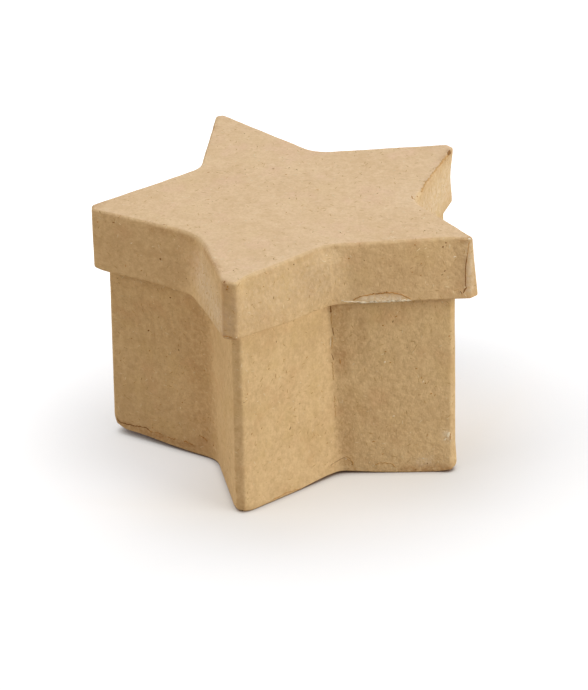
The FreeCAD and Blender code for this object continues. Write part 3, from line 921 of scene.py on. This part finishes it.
class LidStrip(Strip):
    """The lid's rim, with the waves that wet paper leaves when it dries."""

    def push(self, outline, height, skin):
        fold, past, width, tall, gape = RIM_GAPE
        gape *= np.clip((self.low + tall - height) / tall, 0, 1) ** 2
        gape = gape * bump_shape(self.beside(fold) - past, width)
        share = np.clip((height - self.low) / (self.high - self.low), 0, 1)
        lean = sum(amount * self.span(first, last, 4.0) for first, last, amount in LID_LEANS)
        left, right, rise = LID_WEB
        gap = self.beside("front_right_hollow")
        web = np.clip(1 - np.where(gap > 0, gap / right, -gap / left), 0, 1)
        web = np.where(gap > 0, web, web * web * (3 - 2 * web)) * rise
        web *= min(max((self.high - 1.0 - height) / 3.0, 0), 1)
        web *= 0.4 + 0.6 * min((height - self.low) / 4, 1)
        fold, width, depth = RIM_BOW
        bow = depth * bump_shape(self.beside(fold), width) * np.sin(np.pi * share) ** 2
        return cockled(outline, height, RIM_COCKLES) + gape + skin * (lean * share + web - bow)


class BoxStrip(Strip):
    """The box's wall, cockled in the same way and pressed flat at its foot."""

    def push(self, outline, height, skin):
        free = min(height / 6.0, 1.0) * min(max((self.high - height) / 3.0, 0.3), 1.0)
        fold, past, width, tall, flare = FOOT_FLARE
        flare = flare * max(1 - height / tall, 0) * bump_shape(self.beside(fold) - past, width)
        wear = sum(depth * bump_shape(self.beside(fold) - past, width) * max(1 - height / tall, 0) ** 2
                   for fold, past, width, tall, depth in FOOT_WEAR)
        return cockled(outline + 50.0, height + 50.0, BOX_COCKLES) * free + flare - wear * skin


def arc(degrees, radius):
    """Round a quarter circle: how far in from the side and how far from the end, at each angle."""
    for turn in np.radians(degrees):
        yield radius * (1 - math.cos(turn)), radius * (1 - math.sin(turn))


def lay_lid():
    """The lid as its paper skin shows it: top, rounded edge, rim outside and in, and the underside."""
    strip = LidStrip(rim_high, rim_low, LID_TOP_SHIFT, LID_FOOT_SHIFT, LID_CUTS, LID_HOLLOWS,
                     LID_FOLD_ROUND, 0.0)
    drop = strip.lift(RIM_LIFTS)
    depth = rim_high - rim_low
    edge_round = TOP_EDGE_ROUND + sum(
        (radius - TOP_EDGE_ROUND) * bump_shape(strip.beside(fold), 7.0)
        for fold, radius in HOLLOW_EDGE_ROUND.items())
    edge_round = edge_round + 0.14 + cockled(strip.plain(rim_high, 0), 0.0, ((0.14, 2.4),))
    shell = Shell()

    def lower(height):
        return drop * np.clip((rim_high - 2.0 - height) / (depth - 2.0), 0, 1)

    def side_height(height):
        """Heights on the rim's side, squeezed where the top edge is rounded more."""
        share = (height - rim_low) / (depth - TOP_EDGE_ROUND)
        return rim_low + share * (depth - edge_round) + lower(height)

    def top_unevenness(places, share):
        return cockled(places, 0.0, TOP_COCKLES) * min((1 - share) * 5, 1)

    rounded_in = outward(strip.plain(rim_high, 0)) * (edge_round - TOP_EDGE_ROUND)[:, None]
    edge = strip.ring(rim_high, TOP_EDGE_ROUND) - rounded_in
    for share in (0.02, 0.06, *np.linspace(0.12, 0.94, 18), 0.96, 0.975, 0.988):
        shell.add(edge * share, rim_high + top_unevenness(edge * share, share))
    for down, inward in arc(np.linspace(0, 90, 8), 1.0):
        height = rim_high - TOP_EDGE_ROUND * down
        shell.add(strip.ring(height, TOP_EDGE_ROUND * inward) - rounded_in * inward,
                  rim_high - edge_round * down, 0 if down < 0.175 else 1)
    for height in np.linspace(rim_high - TOP_EDGE_ROUND, rim_low + RIM_EDGE_ROUND, 38)[1:]:
        shell.add(strip.ring(height, 0), side_height(height), 1)
    for inward, up in arc((30, 60, 90), RIM_EDGE_ROUND):
        shell.add(strip.ring(rim_low, inward), rim_low + up + lower(rim_low), 1)
    for up, inward in arc((0, 30, 60, 90), RIM_EDGE_ROUND):
        shell.add(strip.ring(rim_low, WALL - inward), rim_low + up + lower(rim_low), 2)
    for height in np.linspace(rim_low + RIM_EDGE_ROUND, panel_low - 0.3, 12)[1:]:
        shell.add(strip.ring(height, WALL), height + lower(height), 2)
    inner = strip.ring(panel_low, WALL)
    for share, gap in ((0.998, 0.1), (0.992, 0.02), (0.98, 0.0)):
        shell.add(inner * share, panel_low - gap, 2)
    for share in np.linspace(0.94, 0.08, 12):
        shell.add(inner * share, panel_low, 2)
    return shell.mesh("lid", LID_STAINS_AND_PAINTED_SHADING, [lid_paper, rim_paper, lining_paper])


def lay_box():
    """The box as its paper skin shows it: underside, foot, wall outside, mouth, inside and floor."""
    strip = BoxStrip(wall_high, 0.0, BOX_TOP_SHIFT, BOX_FOOT_SHIFT, BOX_CUTS, BOX_HOLLOWS,
                     BOX_FOLD_ROUND, WALL + CLEARANCE)
    rise = strip.lift(FOOT_LIFTS)
    shell = Shell()

    def raised(height):
        return height + rise * max(1 - height / 9.0, 0)

    foot = strip.ring(0, FOOT_EDGE_ROUND)
    for share in (*np.linspace(0.08, 0.9, 12), 0.96, 0.985):
        shell.add(foot * share, rise * max(share - 0.5, 0) * 2)
    for inward, up in arc((90, 70, 45, 20), FOOT_EDGE_ROUND):
        shell.add(strip.ring(0, inward), raised(up))
    for height in np.linspace(FOOT_EDGE_ROUND, wall_high - MOUTH_EDGE_ROUND, 76)[:-1]:
        shell.add(strip.ring(height, 0), raised(height))
    for down, inward in arc((90, 60, 30, 0), MOUTH_EDGE_ROUND):
        shell.add(strip.ring(wall_high, inward), wall_high - down)
    for inward, down in arc((90, 60, 30), MOUTH_EDGE_ROUND):
        shell.add(strip.ring(wall_high, WALL - inward), wall_high - down)
    for height in np.linspace(wall_high - MOUTH_EDGE_ROUND, floor_high + 0.3, 24):
        shell.add(strip.ring(height, WALL), height, 1)
    inside = strip.ring(floor_high, WALL)
    for share, gap in ((0.996, 0.08), (0.99, 0.0), (0.97, 0.0)):
        shell.add(inside * share, floor_high + gap, 1)
    for share in (*np.linspace(0.94, 0.12, 12), 0.06):
        shell.add(inside * share, floor_high, 1)
    shell.rings = shell.rings[::-1]
    shell.slots = shell.slots[::-1]
    return shell.mesh("box", BOX_STAINS_AND_PAINTED_SHADE, [box_paper, lining_paper])


lid = lay_lid()
box = lay_box()
for piece, body, nodes in ((lid, "lid", ("lid_rim", "lid_top")), (box, "box", ("box_wall", "box_floor"))):
    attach(piece, body)
    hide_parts(*nodes)


def marks_on(piece, body, lines, specks, seed):
    """The seams, creases, chips and specks that are this box's own, as one mesh on the body."""
    scraps = Scraps(piece, seed)
    for kind, width, ragged, places in lines:
        scraps.sliver(SCRAP_SLOTS[kind], width, ragged, places)
    for kind, length, width, degrees, place in specks:
        scraps.chip(SCRAP_SLOTS[kind], length, width, degrees, place)
    marks = scraps.piece(body + "_marks", SCRAP_MATERIALS)
    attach(marks, body)


marks_on(lid, "lid", LID_LINES, LID_SPECKS, 3)
marks_on(box, "box", BOX_LINES, BOX_SPECKS, 4)
strew_fibres(lid, "lid", 5)
strew_fibres(box, "box", 6)


def studio_floor():
    """White card. For the lamps' light it is a plain pale tan, which bounces warm onto the box. To the eye
    it is white: its shading keeps the box's soft shadow, and a glow lifts it. The glow is less toward
    the front right and near the box, a painted shade, and warm near the box, a painted bounce light.
    It is least, by ambient occlusion, where the foot meets the floor, and there the shading turns dark
    brown: a painted contact shadow."""
    material, tree = new_material("white studio card")
    path = add_node(tree, "ShaderNodeLightPath").outputs
    seen = maths(tree, "MAXIMUM", path["Is Camera Ray"], path["Is Glossy Ray"])
    seen = maths(tree, "MAXIMUM", seen, path["Is Transmission Ray"])
    plain = add_node(tree, "ShaderNodeBsdfDiffuse", {}, {"Color": linear("#c8baa2"), "Roughness": 0.0})
    where = add_node(tree, "ShaderNodeTexCoord").outputs["Object"]
    split = add_node(tree, "ShaderNodeSeparateXYZ", {}, {}, {"Vector": where})
    # Painted shade: the glow is lower toward the front right and near the box.
    back = maths(tree, "SUBTRACT", maths(tree, "MULTIPLY", split.outputs["Y"], 1.05), split.outputs["X"])
    painted_shade_glow = add_node(tree, "ShaderNodeMapRange", {}, {"From Min": -0.06, "From Max": 0.10, "To Min": 0.40,
                                                      "To Max": 0.65}, {"Value": back}).outputs["Result"]
    away = add_node(tree, "ShaderNodeVectorMath", {"operation": "LENGTH"}, {}, {0: where}).outputs["Value"]
    painted_shade_glow = maths(tree, "ADD", painted_shade_glow, maths(tree, "MULTIPLY", ramp(tree, away, 0.038, 0.092), 0.24))
    # Painted contact shadow: ambient occlusion dims the glow and turns the shading dark brown at the foot.
    closed = add_node(tree, "ShaderNodeAmbientOcclusion", {"samples": 8}, {"Distance": 3.5 * MM})
    near = maths(tree, "MULTIPLY", painted_shade_glow, ramp(tree, closed.outputs["AO"], 0.10, 0.80))
    painted_contact_shadow_colour = mix_colour(tree, ramp(tree, closed.outputs["AO"], 0.10, 0.72), (0.22, 0.13, 0.08, 1),
                      (0.445, 0.43, 0.41, 1))
    shade = add_node(tree, "ShaderNodeBsdfDiffuse", {}, {"Roughness": 0.0}, {"Color": painted_contact_shadow_colour})
    # Painted bounce light: near the box, on its front side, the glow is warm.
    clear = maths(tree, "MAXIMUM", ramp(tree, away, 0.036, 0.066), ramp(tree, back, -0.045, 0.0))
    painted_bounce_warmth = mix_colour(tree, clear, (0.96, 0.90, 0.81, 1), (0.99, 0.985, 0.975, 1))
    glow = add_node(tree, "ShaderNodeEmission", {}, {}, {"Color": painted_bounce_warmth, "Strength": near})
    shown = add_node(tree, "ShaderNodeAddShader", {}, {}, {0: shade.outputs[0], 1: glow.outputs[0]})
    both = add_node(tree, "ShaderNodeMixShader", {}, {},
                    {0: seen, 1: plain.outputs[0], 2: shown.outputs[0]})
    add_node(tree, "ShaderNodeOutputMaterial", {}, {}, {"Surface": both.outputs[0]})
    bpy.ops.mesh.primitive_plane_add(size=8.0, location=(0, 0, 0))
    floor = bpy.context.object
    floor.name = "studio_floor"
    floor.data.materials.append(material)


def area_light(name, azimuth, elevation, power, code):
    """A soft square lamp that looks at the middle of the box from the given direction."""
    lamp = bpy.data.lights.new(name, "AREA")
    lamp.shape = "SQUARE"
    lamp.size = LAMP_SIZE
    lamp.energy = power
    lamp.color = linear(code)[:3]
    holder = placed(name, lamp)
    a, e = math.radians(azimuth), math.radians(elevation)
    toward = Vector((math.cos(a) * math.cos(e), math.sin(a) * math.cos(e), math.sin(e)))
    holder.location = toward * LAMP_DISTANCE + Vector((0, 0, 0.03))
    holder.rotation_euler = toward.to_track_quat("Z", "Y").to_euler()


def studio_light():
    """Three soft lamps and a dim warm room, which shows white to the eye."""
    world = bpy.data.worlds.new("studio")
    world.use_nodes = True
    tree = world.node_tree
    tree.nodes.clear()
    path = add_node(tree, "ShaderNodeLightPath")
    seen = maths(tree, "MAXIMUM", path.outputs["Is Camera Ray"], path.outputs["Is Glossy Ray"])
    dim = add_node(tree, "ShaderNodeBackground", {}, {"Color": linear("#fff6ea"), "Strength": 0.03})
    white = add_node(tree, "ShaderNodeBackground", {}, {"Color": (1, 1, 1, 1), "Strength": 1.0})
    both = add_node(tree, "ShaderNodeMixShader", {}, {}, {0: seen, 1: dim.outputs[0], 2: white.outputs[0]})
    add_node(tree, "ShaderNodeOutputWorld", {}, {}, {"Surface": both.outputs[0]})
    bpy.context.scene.world = world
    for lamp in LAMPS:
        area_light(*lamp)


def aim_camera():
    """The photograph's view: a long lens, level with the fit of the box's own corners."""
    azimuth, elevation, roll = (math.radians(v) for v in (CAMERA_AZIMUTH, CAMERA_ELEVATION, CAMERA_ROLL))
    back = Vector((math.sin(azimuth) * math.cos(elevation), -math.cos(azimuth) * math.cos(elevation),
                   math.sin(elevation)))
    level = Vector((math.cos(azimuth), math.sin(azimuth), 0))
    rise = back.cross(level)
    right = level * math.cos(roll) + rise * math.sin(roll)
    up = rise * math.cos(roll) - level * math.sin(roll)
    data = bpy.data.cameras.new("camera")
    data.sensor_width = SENSOR
    data.lens = CAMERA_FOCAL_PIXELS * SENSOR / max(PHOTO_SIZE)
    data.clip_start, data.clip_end = 0.05, 20.0
    camera = placed("camera", data)
    place = level * CAMERA_AIM[0] + rise * CAMERA_AIM[1] + back * CAMERA_DISTANCE
    camera.matrix_world = Matrix((
        (right.x, up.x, back.x, place.x), (right.y, up.y, back.y, place.y),
        (right.z, up.z, back.z, place.z), (0, 0, 0, 1)))
    bpy.context.scene.camera = camera


studio_floor()
studio_light()
aim_camera()
bpy.context.scene.view_settings.view_transform = "Standard"
